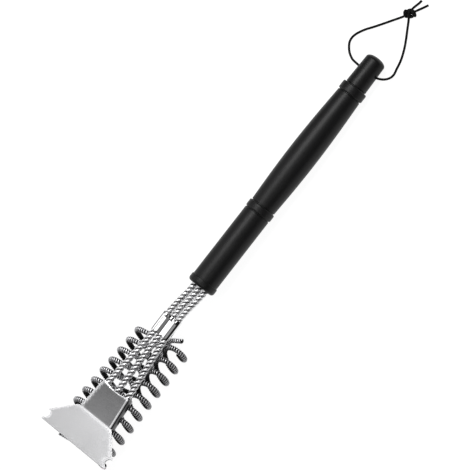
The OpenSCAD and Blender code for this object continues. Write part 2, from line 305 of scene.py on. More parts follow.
def spaced(points, step):
    """The same line with its points a step apart"""
    points = np.asarray(points, float)
    along = along_line(points)
    count = max(2, int(round(along[-1] / step)) + 1)
    places = np.linspace(0, along[-1], count)
    return np.stack([np.interp(places, along, points[:, k]) for k in range(3)], axis=-1)


def smooth_line(points, parts):
    """Centripetal curve through the points, with so many parts between two of them"""
    p = np.asarray(points, float)
    p = np.vstack([2 * p[0] - p[1], p, 2 * p[-1] - p[-2]])
    line = []
    for i in range(1, len(p) - 2):
        a, b, c, d = p[i - 1:i + 3]
        t1 = np.linalg.norm(b - a) ** 0.5
        t2 = t1 + np.linalg.norm(c - b) ** 0.5
        t3 = t2 + np.linalg.norm(d - c) ** 0.5
        for t in t1 + (t2 - t1) * np.arange(parts) / parts:
            u = a + (b - a) * t / t1
            v = b + (c - b) * (t - t1) / (t2 - t1)
            w = c + (d - c) * (t - t2) / (t3 - t2)
            m = u + (v - u) * t / t2
            n = v + (w - v) * (t - t1) / (t3 - t1)
            line.append(m + (n - m) * (t - t1) / (t2 - t1))
    line.append(p[-2])
    return np.array(line)


def carried(points):
    """Tangents of a line, and normals that turn with it as little as they can"""
    tangent = unit(np.gradient(points, axis=0))
    normal = np.zeros_like(tangent)
    last = np.array([0.0, 0.0, 1.0])
    for i, t in enumerate(tangent):
        last = last - last.dot(t) * t
        last = last / np.linalg.norm(last)
        normal[i] = last
    return tangent, normal


def skin(rings, sides, closed=False):
    """Faces between rings of so many points, capped at both ends or closed into a loop"""
    i, k = np.meshgrid(np.arange(rings if closed else rings - 1), np.arange(sides), indexing="ij")
    i2, k2 = (i + 1) % rings, (k + 1) % sides
    quads = np.stack([i * sides + k, i * sides + k2, i2 * sides + k2, i2 * sides + k], axis=-1)
    faces = quads.reshape(-1, 4).tolist()
    if not closed:
        faces.append(list(range(sides - 1, -1, -1)))
        faces.append(list(range((rings - 1) * sides, rings * sides)))
    return faces


def tube(points, radius, sides, normal=None):
    """Vertices, faces and grain of a tube; radius is one number, one a ring or one a vertex"""
    points = np.asarray(points, float)
    if normal is None:
        tangent, normal = carried(points)
    else:
        tangent = unit(np.gradient(points, axis=0))
        normal = unit(normal - (normal * tangent).sum(1, keepdims=True) * tangent)
    side = np.cross(tangent, normal)
    angle = 2 * pi * np.arange(sides) / sides
    if np.ndim(radius) < 2:
        radius = np.reshape(radius, (-1, 1))
    radius = np.broadcast_to(radius, (len(points), sides))
    ring = np.cos(angle)[:, None] * normal[:, None] + np.sin(angle)[:, None] * side[:, None]
    verts = (points[:, None] + radius[..., None] * ring).reshape(-1, 3)
    grain = np.zeros((len(points), sides, 3))
    grain[:, :, 0] = along_line(points)[:, None]
    grain[:, :, 1] = np.cos(angle)
    grain[:, :, 2] = np.sin(angle)
    return verts, skin(len(points), sides), grain.reshape(-1, 3)


def joined(parts):
    """One set of vertices, faces and grain from several"""
    verts, faces, grain, start = [], [], [], 0
    for v, f, g in parts:
        verts.append(v)
        grain.append(g)
        faces += [[start + i for i in face] for face in f]
        start += len(v)
    return np.vstack(verts), faces, np.vstack(grain)


def smoothed(mesh, sharp):
    """Shades a mesh smooth, apart from edges sharper than an angle in degrees"""
    mesh.polygons.foreach_set("use_smooth", [True] * len(mesh.polygons))
    if sharp:
        mesh.set_sharp_from_angle(angle=radians(sharp))


def linked(name, data):
    """A new object of the scene"""
    obj = bpy.data.objects.new(name, data)
    bpy.context.scene.collection.objects.link(obj)
    return obj


def new_object(name, verts, faces, grain=None, sharp=35):
    """A smooth mesh object from vertices in metres"""
    mesh = bpy.data.meshes.new(name)
    mesh.from_pydata(np.asarray(verts).tolist(), [], faces)
    mesh.validate()
    smoothed(mesh, sharp)
    if grain is not None:
        # Per point vector: places along and round the piece, and for some pieces painted light and
        # shade
        lines = mesh.attributes.new("grain", "FLOAT_VECTOR", "POINT")
        lines.data.foreach_set("vector", np.asarray(grain, np.float32).ravel())
    return linked(name, mesh)


def settle(obj, sharp):
    """Applies an object's modifiers to its mesh and shades it smooth"""
    graph = bpy.context.evaluated_depsgraph_get()
    mesh = bpy.data.meshes.new_from_object(obj.evaluated_get(graph))
    obj.modifiers.clear()
    obj.data = mesh
    smoothed(mesh, sharp)


def finish_piece(obj, look, node):
    """Gives a piece its look and ties it to the frame in place of a node"""
    material, slot = look
    obj.data.materials.clear()
    obj.data.materials.append(material)
    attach(obj, BODY)
    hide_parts(node)


def lathe(profile, sides):
    """Surface turned about the x axis from points of place and radius"""
    place, radius = np.array(profile, float).T[:, :, None, None]
    angle = 2 * pi * np.arange(sides) / sides
    ring = np.stack([0 * angle, np.cos(angle), np.sin(angle)], axis=-1)
    verts = (place * [1, 0, 0] + radius * ring).reshape(-1, 3)
    return verts, [face[::-1] for face in skin(len(profile), sides)]


def prism(sections, closed=False):
    """Body through sections of the same number of points, each at its place"""
    verts = [(x, y, z) for x, outline in sections for y, z in outline]
    return np.array(verts), skin(len(sections), len(sections[0][1]), closed)


def lobes(step, radius, bar, count):
    """Closed outline round three circles side by side, with the valleys filled up to a bar"""
    points = []
    for i in range(count):
        turn = 2 * pi * i / count
        y = (step + radius) * cos(turn)
        near = min(abs(y), abs(abs(y) - step))
        high = sqrt(max(0.0, radius * radius - near * near))
        if abs(y) < step:
            high = (high ** 6 + bar ** 6 * (1 - (high / radius) ** 6)) ** (1 / 6)
        points.append((y, copysign(high, sin(turn)) if abs(sin(turn)) > 1e-9 else 0.0))
    return points


def arc(x, y, radius, start, end, parts):
    """Points of an arc about a place, between two angles in degrees"""
    angles = np.radians(np.linspace(start, end, parts + 1))
    return [(x + radius * cos(a), y + radius * sin(a)) for a in angles]


# Shader maths

class Value:
    """One socket of a node tree, with the arithmetic that is used on it"""

    def __init__(self, graph, socket):
        self.graph, self.socket = graph, socket

    def maths(self, operation, first, second):
        return self.graph.node("ShaderNodeMath", {"operation": operation}, {0: first, 1: second})

    def __add__(self, other):
        return self.maths("ADD", self, other)

    __radd__ = __add__

    def __mul__(self, other):
        return self.maths("MULTIPLY", self, other)

    __rmul__ = __mul__

    def between(self, low, high, start=0.0, end=1.0):
        """Smooth step from start to end while the value goes from low to high"""
        return self.graph.node("ShaderNodeMapRange", {"interpolation_type": "SMOOTHSTEP"},
                               {"Value": self, "From Min": low, "From Max": high,
                                "To Min": start, "To Max": end})


class Graph:
    """A material's or world's node tree"""

    def __init__(self, tree):
        self.tree = tree
        tree.nodes.clear()

    def node(self, kind, settings=None, sockets=None, out=0):
        """Adds a node: its settings first, then values or links of its sockets"""
        node = self.tree.nodes.new(kind)
        for name, value in (settings or {}).items():
            setattr(node, name, value)
        for name, value in (sockets or {}).items():
            if isinstance(value, Value):
                self.tree.links.new(value.socket, node.inputs[name])
            else:
                node.inputs[name].default_value = value
        return Value(self, node.outputs[out]) if node.outputs else None

    def grain(self):
        """The vector that a mesh keeps at each of its points: places along and round it, and painted
        light and shade
        """
        return self.node("ShaderNodeAttribute", {"attribute_name": "grain"}, out="Vector")

    def part(self, vector, axis):
        """One of the three numbers of a vector"""
        return self.node("ShaderNodeSeparateXYZ", None, {0: vector}, out=axis)

    def place(self):
        """Place in the object's own frame"""
        return self.node("ShaderNodeTexCoord", out="Object")

    def noise(self, vector, scale, detail, rough=0.5):
        return self.node("ShaderNodeTexNoise", None,
                         {"Vector": vector, "Scale": scale, "Detail": detail, "Roughness": rough})

    def shade(self, factor, dark, light):
        """Colour between two colours by a factor"""
        sockets = {0: factor, 6: (*dark, 1), 7: (*light, 1)}
        return self.node("ShaderNodeMix", {"data_type": "RGBA"}, sockets, out=2)

    def scaled(self, vector, by):
        return self.node("ShaderNodeVectorMath", {"operation": "MULTIPLY"}, {0: vector, 1: by})

    def bump(self, height, distance, strength):
        return self.node("ShaderNodeBump", None,
                         {"Height": height, "Distance": distance, "Strength": strength})


def new_material(slot):
    """Graph of the nodes of a new material, which is named for its slot"""
    material = bpy.data.materials.new(slot)
    material.use_nodes = True
    graph = Graph(material.node_tree)
    graph.look = material, slot
    return graph


def output(graph, **sockets):
    """Look of a material whose shader has these values or links; a look carries its slot"""
    names = {key.replace("_", " "): value for key, value in sockets.items()}
    surface = graph.node("ShaderNodeBsdfPrincipled", None, names)
    graph.node("ShaderNodeOutputMaterial", None, {"Surface": surface})
    return graph.look


def tone(rgb, by):
    """A colour made darker or paler"""
    return tuple(min(1.0, c * by) for c in rgb)


def plastic_material(rgb):
    """Moulded black plastic with a fine satin texture and faint scuffs"""
    g = new_material("black_plastic")
    place = g.place()
    fine = g.noise(place, 2600, 3, 0.6)
    broad = g.noise(g.scaled(place, (1, 3, 3)), 38, 3)
    scuff = g.noise(g.scaled(place, (8, 60, 60)), 22, 2).between(0.62, 0.78)
    return output(g, Base_Color=g.shade(broad.between(0.3, 0.7), tone(rgb, 0.8), tone(rgb, 1.25)),
                  Roughness=0.40 + 0.08 * broad + 0.06 * scuff, Specular_IOR_Level=0.24,
                  Normal=g.bump(fine, 0.00004, 0.5))


def wire_material(rgb):
    """Bright drawn wire with lines along it, painted shade in the lay between the wires and random
    patches of tone
    """
    g = new_material("bright_wire")
    grain = g.grain()
    lines = g.noise(g.scaled(grain, (0.06, 0, 5)), 2.2, 3, 0.6)
    patch = g.noise(g.place(), 90, 2)
    # Painted shade: darker towards the middle of the stem, in the lay between the wires; random patches
    # vary the tone
    painted_light_and_tone = g.part(grain, "Y").between(0.68, 0.95) * (0.84 + 0.16 * patch)
    return output(g, Base_Color=g.shade(painted_light_and_tone, tone(rgb, 0.04), rgb), Metallic=1.0,
                  Roughness=0.32 + 0.08 * lines + 0.05 * patch, Normal=g.bump(lines, 0.00002, 0.4))


def strand_material(rgb):
    """Grey spring wire, with painted shade in the grooves between the turns of its wire and on the
    inner side of the coil, and random patches of tone
    """
    g = new_material("spring_steel")
    grain = g.grain()
    crest, outer = g.part(grain, "Y"), g.part(grain, "Z")
    place = g.place()
    patch = g.noise(place, 120, 3, 0.6)
    fine = g.noise(place, 1500, 2)
    # Painted shade: darker in the grooves between the ribs (crest) and on the coil's inner side
    # (outer); random patches vary the tone
    painted_light_and_tone = crest.between(0.35, 1.0) * outer.between(0.15, 0.8) * (0.6 + 0.5 * patch)
    return output(g, Base_Color=g.shade(painted_light_and_tone, tone(rgb, 0.05), tone(rgb, 2.4)),
                  Metallic=1.0, Roughness=0.26 + 0.16 * patch, Normal=g.bump(fine, 0.00003, 0.5))


def sheet_material(name, rgb, rough):
    """Satin sheet with faint brushing across its width, a few scratches, random patches, and painted
    light and shade: painted highlights, painted reflections and painted shade
    """
    g = new_material(name)
    # Painted light and shade carried by the mesh: pale for painted highlights and reflections, dark for
    # painted shade
    painted_light_and_tone = g.part(g.grain(), "X")
    place = g.place()
    brush = g.noise(g.scaled(place, (14, 1, 14)), 130, 3, 0.65)
    patch = g.noise(place, 45, 2)
    scratch = g.noise(g.scaled(place, (3, 55, 3)), 24, 1).between(0.66, 0.74)
    tint = painted_light_and_tone * patch.between(0.3, 0.7, 0.96, 1.0)
    return output(g, Base_Color=g.shade(tint, tone(rgb, 0.03), tone(rgb, 1.3)), Metallic=1.0,
                  Roughness=rough + 0.05 * brush + 0.02 * patch + 0.02 * scratch,
                  Normal=g.bump(brush + scratch, 0.000004, 0.25))


def cord_material(rgb):
    """Black braid with its fibres running round with the twist"""
    g = new_material("black_cord")
    fibre = g.noise(g.scaled(g.grain(), (1.6, 3, 3)), 2.4, 3, 0.7)
    return output(g, Base_Color=g.shade(fibre.between(0.3, 0.7), tone(rgb, 0.5), tone(rgb, 1.5)),
                  Roughness=0.72 + 0.14 * fibre, Specular_IOR_Level=0.15,
                  Normal=g.bump(fibre, 0.0002, 0.7))


# Pieces

class PieceOperator:
    """Shared by the operators: the plan, the settings and the making of a piece"""
    bl_options = {"REGISTER", "UNDO"}

    def ready(self, context):
        brush = context.scene.grill_brush
        return Plan(brush), brush

    def piece(self, name, plan, parts, look, node, sharp=35):
        """Adds a piece made of vertices, faces and grain, in place of a node"""
        verts, faces, grain = parts
        obj = new_object(name, plan.world(verts), faces, grain, sharp)
        finish_piece(obj, look, node)
        return obj


class BRUSH_OT_handle(PieceOperator, bpy.types.Operator):
    """Turned handle with collar, swelling grip, ring, flange, stem slot and cord hole"""
    bl_idname = "grill_brush.handle"
    bl_label = "Handle"
    sides, slot_sides, hole_sides = 144, 96, 40
    fillet = 0.985

    def ridge(self, start, end, radius, edge):
        """Outline of a collar or ring with rounded edges"""
        return (arc(start + edge, radius - edge, edge, 180, 90, 8)
                + arc(end - edge, radius - edge, edge, 90, 0, 8))

    def profile(self, plan):
        """Outline of the handle from the butt to its front, as place and radius"""
        h = plan.handle
        butt, collar, grip, ring, fore, flange = (
            across / 2 for across in (h.butt, h.collar, h.grip, h.ring, h.fore, h.flange))
        dome, bulge, groove, sunk, soft, lip = 5.0, 2.2, 1.1, 0.7, 0.8, 3.0
        collar_from, collar_to = h.collar_at - h.collar_half, h.collar_at + h.collar_half
        ring_from, ring_to = h.ring_at - h.ring_half, h.ring_at + h.ring_half
        grip_from, grip_to = collar_to + groove, ring_from - groove
        grip_mid = grip_from + (grip_to - grip_from) * 0.54
        back, front = collar - 0.8, ring - 1.1
        flange_x = h.long - 7.6
        points = []
        for part in np.arange(1, 17) / 16:
            x = dome * part ** 1.8
            points.append((x, butt * (1 - (1 - x / dome) ** bulge) ** (1 / bulge)))
        points += [(collar_from - groove, butt + sunk), (collar_from - groove / 2, butt + 0.1),
                   (collar_from, butt + 0.1)]
        points += self.ridge(collar_from, collar_to, collar, h.edge)
        points += [(collar_to, back - 0.9), (collar_to + groove / 2, back - 0.9)]
        points += [(grip_from + (grip_mid - grip_from) * part,
                    back + (grip - back) * sin(pi / 2 * part))
                   for part in np.arange(33) / 32]
        points += [(grip_mid + (grip_to - grip_mid) * part,
                    front + (grip - front) * cos(pi / 2 * part))
                   for part in np.arange(1, 29) / 28]
        points += [(grip_to + 0.3, front - sunk), (ring_from, front - sunk)]
        points += self.ridge(ring_from, ring_to, ring, h.edge)
        points += [(ring_to, fore - soft), (ring_to + 0.6, fore - soft)]
        points += arc(ring_to + 0.6 + soft, fore - soft, soft, 180, 90, 5)
        points += [(flange_x - 0.01, fore), (flange_x, fore)]
        points += arc(flange_x + soft, flange - soft, soft, 180, 90, 6)
        return points + arc(h.long - lip, flange - lip, lip, 90, 0, 12)

    def turned(self, name, plan, verts, faces):
        """Object made along the handle's own axis"""
        return new_object(name, plan.world(plan.tilted(verts)), faces)

    def execute(self, context):
        plan, brush = self.ready(context)
        h = plan.handle
        obj = self.turned("handle_body", plan, *lathe(self.profile(plan), self.sides))
        outline = lobes(plan.stem_step, plan.stem_hole, plan.stem_hole * self.fillet, self.slot_sides)
        ends = h.long - plan.stems.seat - 1, h.long + 8
        cutters = [self.turned("slot_cut", plan, *prism([(x, outline) for x in ends]))]
        hole, wall = h.hole / 2, h.butt / 2 + 0.5
        flare = [(-wall - 2, hole + 2.4), (-wall + 0.2, hole + 0.75), (-wall + 0.8, hole + 0.2),
                 (-wall + 1.5, hole)]
        verts, faces = lathe(flare + [(-x, r) for x, r in reversed(flare)], self.hole_sides)
        across = np.stack([h.hole_at + verts[:, 1], verts[:, 0], verts[:, 2]], axis=-1)
        cutters.append(self.turned("hole_cut", plan, across, [face[::-1] for face in faces]))
        for cutter in cutters:
            cut = obj.modifiers.new("cut", "BOOLEAN")
            cut.operation, cut.solver, cut.object = "DIFFERENCE", "EXACT", cutter
        settle(obj, 32)
        for cutter in cutters:
            bpy.data.objects.remove(cutter)
        finish_piece(obj, plastic_material(brush.finishes.plastic), "handle")
        return {"FINISHED"}


class BRUSH_OT_stems(PieceOperator, bpy.types.Operator):
    """Three stems, each of three bright wires twisted together"""
    bl_idname = "grill_brush.stems"
    bl_label = "Stems"
    stations, sides, rounded_end = 340, 18, 0.86

    def execute(self, context):
        plan, brush = self.ready(context)
        look = wire_material(brush.finishes.wire)
        start, end = plan.handle.long - plan.stems.seat, plan.bend_x + plan.stems.past
        x = np.linspace(start, end, self.stations)
        radius = np.full(len(x), plan.stems.wire / 2)
        radius[[0, -1]] *= self.rounded_end
        for side, word in enumerate(("left", "mid", "right"), -1):
            centre = np.stack([x, plan.stem_y(side, x), plan.stem_h(x)], axis=-1)
            for letter, turn in zip("abc", (0, 120, 240)):
                angle = np.radians(360 * x / plan.stems.lay + turn)
                out = np.stack([0 * x, np.cos(angle), np.sin(angle)], axis=-1)
                verts, faces, grain = tube(centre + plan.twist * out, radius, self.sides)
                off = np.linalg.norm(verts - np.repeat(centre, self.sides, axis=0), axis=1)
                grain[:, 2] = grain[:, 1] + turn
                # Distance out from the stem's middle: the wire material paints shade where it is small,
                # in the lay
                grain[:, 1] = off / (plan.stem_od / 2)
                name = f"stem_{word}_wire_{letter}"
                self.piece("bright_" + name, plan, (verts, faces, grain), look, name)
        return {"FINISHED"}


class BRUSH_OT_coils(PieceOperator, bpy.types.Operator):
    """Three rows of coil, each of one strand that is itself wound from spring wire"""
    bl_idname = "grill_brush.coils"
    bl_label = "Coils"
    # The right row's crest value is scaled by this, which paints that row a little darker
    dull_right = 0.8
    left_end = ((-2.5, 4.6, 1.8), (-1.5, 2.2, 1.5))
    mid_end = ((-9, 12.5, 5), (-5.6, 6.4, 3.9), (-3.6, 2.9, 2.9), (-1.7, 0.7, 1.5))

    def path(self, plan, row, first, last, end=()):
        """Points of a row's strand between two angles, behind those of its first end"""
        line = plan.coil_point(row, np.arange(first, last + 1, 6))
        return row, np.vstack([line[0] + point for point in end] + [line])

    def rows(self, plan):
        """Row and path of each coil"""
        left, mid, right = plan.left_row, plan.mid_row, plan.right_row
        left_last = 360 * (plan.coils_front - 1 - left.at) / left.step
        turns = 360 * plan.turns
        return {"coil_left": self.path(plan, left, 240, left_last, self.left_end),
                "coil_mid": self.path(plan, mid, 180, turns - 30, self.mid_end),
                "coil_right": self.path(plan, right, 80, turns + 150)}

    def execute(self, context):
        plan, brush = self.ready(context)
        look = strand_material(brush.finishes.strand)
        rib = plan.coils.rib
        parts = 14
        for name, (row, rough) in self.rows(plan).items():
            line = spaced(smooth_line(rough, 4), rib / parts)
            tangent, normal = carried(line)
            turn = 2 * pi * np.arange(len(line)) / parts
            out = np.cos(turn)[:, None] * normal + np.sin(turn)[:, None] * np.cross(tangent, normal)
            winding = line + (row.strand - rib) / 2 * out
            verts, faces, grain = tube(winding, rib / 2, 6, normal=out)
            off = np.hypot(verts[:, 1] - plan.row_y(row, verts[:, 0]), verts[:, 2] - row.high)
            grain[:, 1] *= self.dull_right if row is plan.right_row else 1.0
            # How far out in the coil a point lies: the strand material paints shade on the coil's inner
            # side
            grain[:, 2] = (off - row.radius) / row.strand + 0.5
            self.piece("wound_" + name, plan, (verts, faces, grain), look, name, sharp=0)
        return {"FINISHED"}


class BRUSH_OT_sleeve(PieceOperator, bpy.types.Operator):
    """Sheet sleeve crimped round the three stems, open at both ends"""
    bl_idname = "grill_brush.sleeve"
    bl_label = "Sleeve"
    # Painted reflections and painted shade: how pale the sheet is painted, at places counted in steps
    # from stem to stem
    bands = ((-1.33, 0.05), (-1.26, 1), (-0.62, 1), (-0.56, 0.12), (0.08, 0.12), (0.14, 1),
             (0.90, 1), (0.96, 0.15), (1.34, 0.13), (1.38, 0.02), (1.52, 0.02), (1.55, 0.8))
    sides = 144

    def execute(self, context):
        plan, brush = self.ready(context)
        wall, r, step = plan.sleeve.wall, plan.stem_hole, plan.stem_step
        x0, x1 = plan.sleeve_x, plan.sleeve_end
        outer = ((x0, 0.32), (x0 + 0.08, 0.12), (x0 + 0.3, 0), (x0 + 5, 0), (x0 + 10, 0),
                 (x0 + 15, 0), (x1 - 0.3, 0), (x1 - 0.08, 0.12), (x1, 0.32))
        inner = ((x1, 0.3), (x1 - 0.1, 0.05), (x1 - 0.4, 0), (x0 + 0.4, 0), (x0 + 0.1, 0.05), (x0, 0.3))
        rings = [(x, lobes(step, r + wall - inset, r - 0.7 - inset, self.sides)) for x, inset in outer]
        rings += [(x, lobes(step, r + inset, r - 1.2 + inset, self.sides)) for x, inset in inner]
        verts, faces = prism(rings, closed=True)
        verts[:, 2] += plan.stem_z
        grain = np.zeros((len(verts), 3))
        # Painted reflection bands and painted shade across the sleeve
        grain[:, 0] = np.interp(verts[:, 1] / step, *np.transpose(self.bands))
        look = sheet_material("bright_sheet", brush.finishes.sleeve, 0.08)
        self.piece("crimped_sleeve", plan, (verts, faces, grain), look, "crimp_sleeve", sharp=50)
        return {"FINISHED"}


class BRUSH_OT_scraper(PieceOperator, bpy.types.Operator):
    """Sheet folded down over the stems, widening into a raised blade with two notches"""
    bl_idname = "grill_brush.scraper"
    bl_label = "Scraper"
    bend_radius = 9.0
    hollow, lip, dent = 1.7, 0.35, 0.6

    def half(self, plan, t):
        """Half width of the sheet's top at a distance along it"""
        s = plan.scraper
        if t <= s.neck_long:
            return plan.neck_half(plan.neck_x + t) - s.fold
        u = t - s.neck_long
        root, tip = plan.neck_half(plan.bend_x), s.blade_wide / 2
        middle = s.blade_long - s.notch_at
        shoulder = middle - s.notch
        if u <= shoulder:
            return root + (tip - root) * u / shoulder
        return tip - sqrt(max(0.0, s.notch ** 2 - (u - middle) ** 2))

    def level(self, plan, t):
        """Place and height of the sheet's top at a distance along it"""
        u, slope, radius = t - plan.scraper.neck_long, plan.scraper.slope, self.bend_radius
        lead = radius * tan(slope / 2)
        if u < -lead:
            return plan.bend_x + u, plan.neck_top
        if u > lead:
            return plan.bend_x + u * cos(slope), plan.neck_top + u * sin(slope)
        turn = (u + lead) / (2 * lead) * slope
        return (plan.bend_x - lead + radius * sin(turn),
                plan.neck_top + radius * (1 - cos(turn)))

    def top(self, plan, t, v):
        """Flat of the neck, hollowed at its rear edge with a lip rolled down"""
        x, z = self.level(plan, t)
        bow = 1 - v * v
        x += self.hollow * bow * max(0.0, 1 - t / 7) ** 2
        z -= self.lip * (0.35 + 0.65 * bow) * max(0.0, 1 - t / 2.4) ** 2
        return [x, self.half(plan, t) * v, z]

    def blade(self, plan, t, v):
        """Flat of the blade, widening from the neck over its first ease"""
        x, z = self.level(plan, t)
        bend, ease = plan.scraper.neck_long, 1.2
        root, wide = self.half(plan, bend), self.half(plan, max(t, bend + ease))
        if t < bend + ease:
            wide = root + (wide - root) * (t - bend) / ease
        return [x, wide * v, z]

    def fold(self, plan, t, v, side):
        """Round fold and straight wall of the neck, v from 0 at the top to 1 below"""
        x, wide, r = plan.neck_x + t, self.half(plan, t), plan.scraper.fold
        start = plan.neck_top - r
        wave = sin(2 * pi * x / (plan.stems.lay / 3)) if side < 0 else 0.0
        dent = self.dent * max(0.0, wave) * sin(pi * min(1.0, v / 0.55))
        if v > 0.5:
            return [x, side * (wide + r - dent), start + (plan.neck_low - start) * (2 * v - 1)]
        turn = pi * v
        return [x, side * (wide + (r - dent) * sin(turn)), start + (r - dent) * cos(turn)]

    def tint(self, plan, spots, across):
        """How pale the sheet is painted: painted shade over the neck and on the right fold's wall,
        painted highlights on the rear lip, the left fold, the bend and the rims
        """
        x, y, z = spots.T
        long = plan.scraper.neck_long
        past = x - plan.bend_x
        deep = (plan.neck_top - z) / (plan.neck_top - plan.neck_low)
        # Painted shade over the neck, darker towards its rear
        neck = 0.64 + 0.21 * past / long + 0.002 * y
        # Painted highlight on the rolled rear lip
        neck = np.where(past < 2.2 - long, 1.0, neck)
        # Jagged painted highlight along the left fold's crest
        tooth = (x / (plan.stems.lay / 3)) % 1
        neck = np.where(across < -0.97 + 0.11 * tooth, 1.0, neck)
        # Painted shade on the right fold's wall with a painted bright lower edge; the left fold is
        # painted bright
        wall = np.interp(deep, [0, 0.02, 0.08, 0.84, 0.96], [1, 0.7, 0.16, 0.12, 1.2])
        neck = np.where(y > 0, neck * wall, np.where(deep > 0.02, 1.0, neck))
        # Painted highlights along the bend and near the blade's right edge
        blade = 0.66 + 0.34 * np.exp(-(past / 2.4) ** 2) + 0.2 * np.exp(-((across - 0.92) / 0.05) ** 2)
        # Painted highlight on the left shoulder's rim
        blade += 0.3 * (across < -0.95)
        # Thin dark painted rim along the right edge
        blade = np.where(across > 0.99, 0.3, blade)
        return np.clip(np.where(past > 0, blade, neck), 0, 1)

    def execute(self, context):
        plan, brush = self.ready(context)
        s = plan.scraper
        bend, notch, end = s.neck_long, s.notch, s.neck_long + s.blade_long
        middle = end - s.notch_at
        neck_rows = np.linspace(0, bend, 34)
        blade_rows = np.concatenate([np.linspace(bend, middle - notch - 0.02, 26),
                                     middle - notch * np.cos(pi * np.arange(29) / 28),
                                     np.linspace(middle + notch + 0.02, end, 6)])
        rims = np.array([0.87, 0.9, 0.96, 0.985])
        columns = np.sort(np.concatenate([np.linspace(-1, 1, 29), rims, -rims]))
        down = np.linspace(0, 1, 17)
        verts, faces, marks = [], [], []

        def grid(rows, columns, point, *side):
            """Adds a sheet of points with its faces, and marks each point with its column"""
            start, wide = len(verts), len(columns)
            verts.extend(point(plan, row, column, *side) for row in rows for column in columns)
            marks.extend(list(columns) * len(rows))
            for i in range(len(rows) - 1):
                for k in range(wide - 1):
                    a = start + i * wide + k
                    faces.append([a, a + wide, a + wide + 1, a + 1])

        grid(neck_rows, columns, self.top)
        grid(blade_rows, columns, self.blade)
        grid(neck_rows, down[::-1], self.fold, -1)
        grid(neck_rows, down, self.fold, 1)
        spots = np.array(verts)
        grain = np.ones((len(spots), 3))
        grain[:, 0] = self.tint(plan, spots, np.array(marks))
        obj = new_object("scraper_sheet", plan.world(verts), faces, grain, sharp=0)
        mesh = bmesh.new()
        mesh.from_mesh(obj.data)
        bmesh.ops.remove_doubles(mesh, verts=mesh.verts, dist=0.00001)
        bmesh.ops.recalc_face_normals(mesh, faces=mesh.faces)
        if sum(face.normal.z for face in mesh.faces) < 0:
            bmesh.ops.reverse_faces(mesh, faces=mesh.faces)
        mesh.to_mesh(obj.data)
        mesh.free()
        thick = obj.modifiers.new("sheet", "SOLIDIFY")
        thick.thickness, thick.offset, thick.use_even_offset = s.sheet / 1000, -1, True
        edges = obj.modifiers.new("edges", "BEVEL")
        edges.width, edges.segments = 0.00022, 3
        edges.limit_method, edges.angle_limit = "ANGLE", radians(50)
        settle(obj, 60)
        finish_piece(obj, sheet_material("scraper_sheet", brush.finishes.sheet, 0.20), "scraper")
        return {"FINISHED"}


class BRUSH_OT_cord(PieceOperator, bpy.types.Operator):
    """Hang cord through the butt, tied in one overhand knot with two short tails"""
    bl_idname = "grill_brush.cord"
    bl_label = "Hang cord"
    low, high = 0.98, 12.6
    left = ((16, -10.6, high), (15.7, -14, 12.2), (15.4, -18, 10), (14.8, -23, 6.6), (13.2, -28, 3.4),
            (11, -32.4, 1.4), (7.4, -36, low), (3.4, -38.6, low), (-1.2, -39.4, low),
            (-6.4, -38.2, low), (-14.2, -33.8, low), (-21, -28.4, low), (-28, -23, low),
            (-35, -17.8, low), (-40.4, -13.8, low), (-45, -10.4, 1.3), (-49, -7.6, 2.4))
    right = ((16, 10.6, high), (15.2, 13, 12.2), (13.4, 15.6, 9.6), (10.6, 17.4, 6), (6.8, 18.2, 2.8),
             (2.6, 18, 1.2), (-2.2, 16.9, low), (-7.4, 15.9, low), (-12.2, 14.6, low),
             (-17.4, 12.6, low), (-23, 10, low), (-30.2, 6, low), (-37.6, 1.4, low),
             (-42.2, -1.4, low), (-45.2, -3.2, 1.3), (-49, -5.4, 2.4))
    tails = (((-53, -6.6, 1.8), (-56, -7.4, 1), (-60, -6.6, low), (-64, -5.4, low),
              (-67.7, -4.8, low)),
             ((-53, -4.6, 1.8), (-56, -3.4, 1), (-60, -1, low), (-64, 1.4, low), (-67.7, 3.5, low)))
    # Turn and tip in degrees, radius and shift of each ring of the knot
    rings = ((128, 76, 3.0, -3.3), (112, 98, 3.3, 0.2), (148, 82, 2.9, 4.2),
             (40, 26, 3.6, 0.9), (84, 60, 2.8, 2.2))

    def lifted(self, line, thick):
        """The line with its cord held just above the floor"""
        line = np.array(line)
        line[:, 2] = np.maximum(line[:, 2], thick / 2 + 0.02)
        return line

    def rope(self, line, thick):
        """Laid cord of three lobes along a line"""
        sides, lay, depth = 15, 5.2, 0.02
        line = self.lifted(line, thick)
        turn = 6 * pi * (np.arange(sides) / sides - along_line(line)[:, None] / lay)
        return tube(line, thick / 2 * (1 - depth + depth * np.cos(turn)), sides)

    def execute(self, context):
        plan, brush = self.ready(context)
        thick = 1000 * brush.cord.thick
        look = cord_material(brush.finishes.cord)
        knot = self.piece("tied_knot", plan, self.knot(thick), look, "cord_knot")
        for word, points in (("left", self.left), ("right", self.right)):
            line = self.lifted(spaced(smooth_line(points, 8), 0.5), thick)
            obj = self.piece("cord_" + word, plan, self.rope(line, thick), look, "hang_cord")
            path = plan.world(line)
        inside = self.rope(spaced([self.left[0], self.right[0]], 0.5), thick)
        self.piece("cord_in_hole", plan, inside, look, "hang_cord")
        return {"FINISHED"}

    def knot(self, thick):
        """The tied turns and the two tails"""
        centre = np.array([-51.0, -5.6, 4.2])
        along = np.array([-0.61, 0.79, 0.0])
        parts = []
        for yaw, pitch, radius, shift in self.rings:
            a = np.radians(np.arange(0, 361, 10))
            ring = np.stack([radius * np.cos(a), radius * np.sin(a), 0 * a], axis=-1)
            turn = (Matrix.Rotation(radians(yaw), 3, "Z")
                    @ Matrix.Rotation(radians(pitch), 3, "Y"))
            parts.append(self.rope(ring @ np.array(turn).T + centre + shift * along, thick))
        for points in self.tails:
            start = centre + [-0.8, 0, -0.6]
            parts.append(self.rope(spaced(smooth_line([start, *points], 6), 0.4), thick))
        return joined(parts)


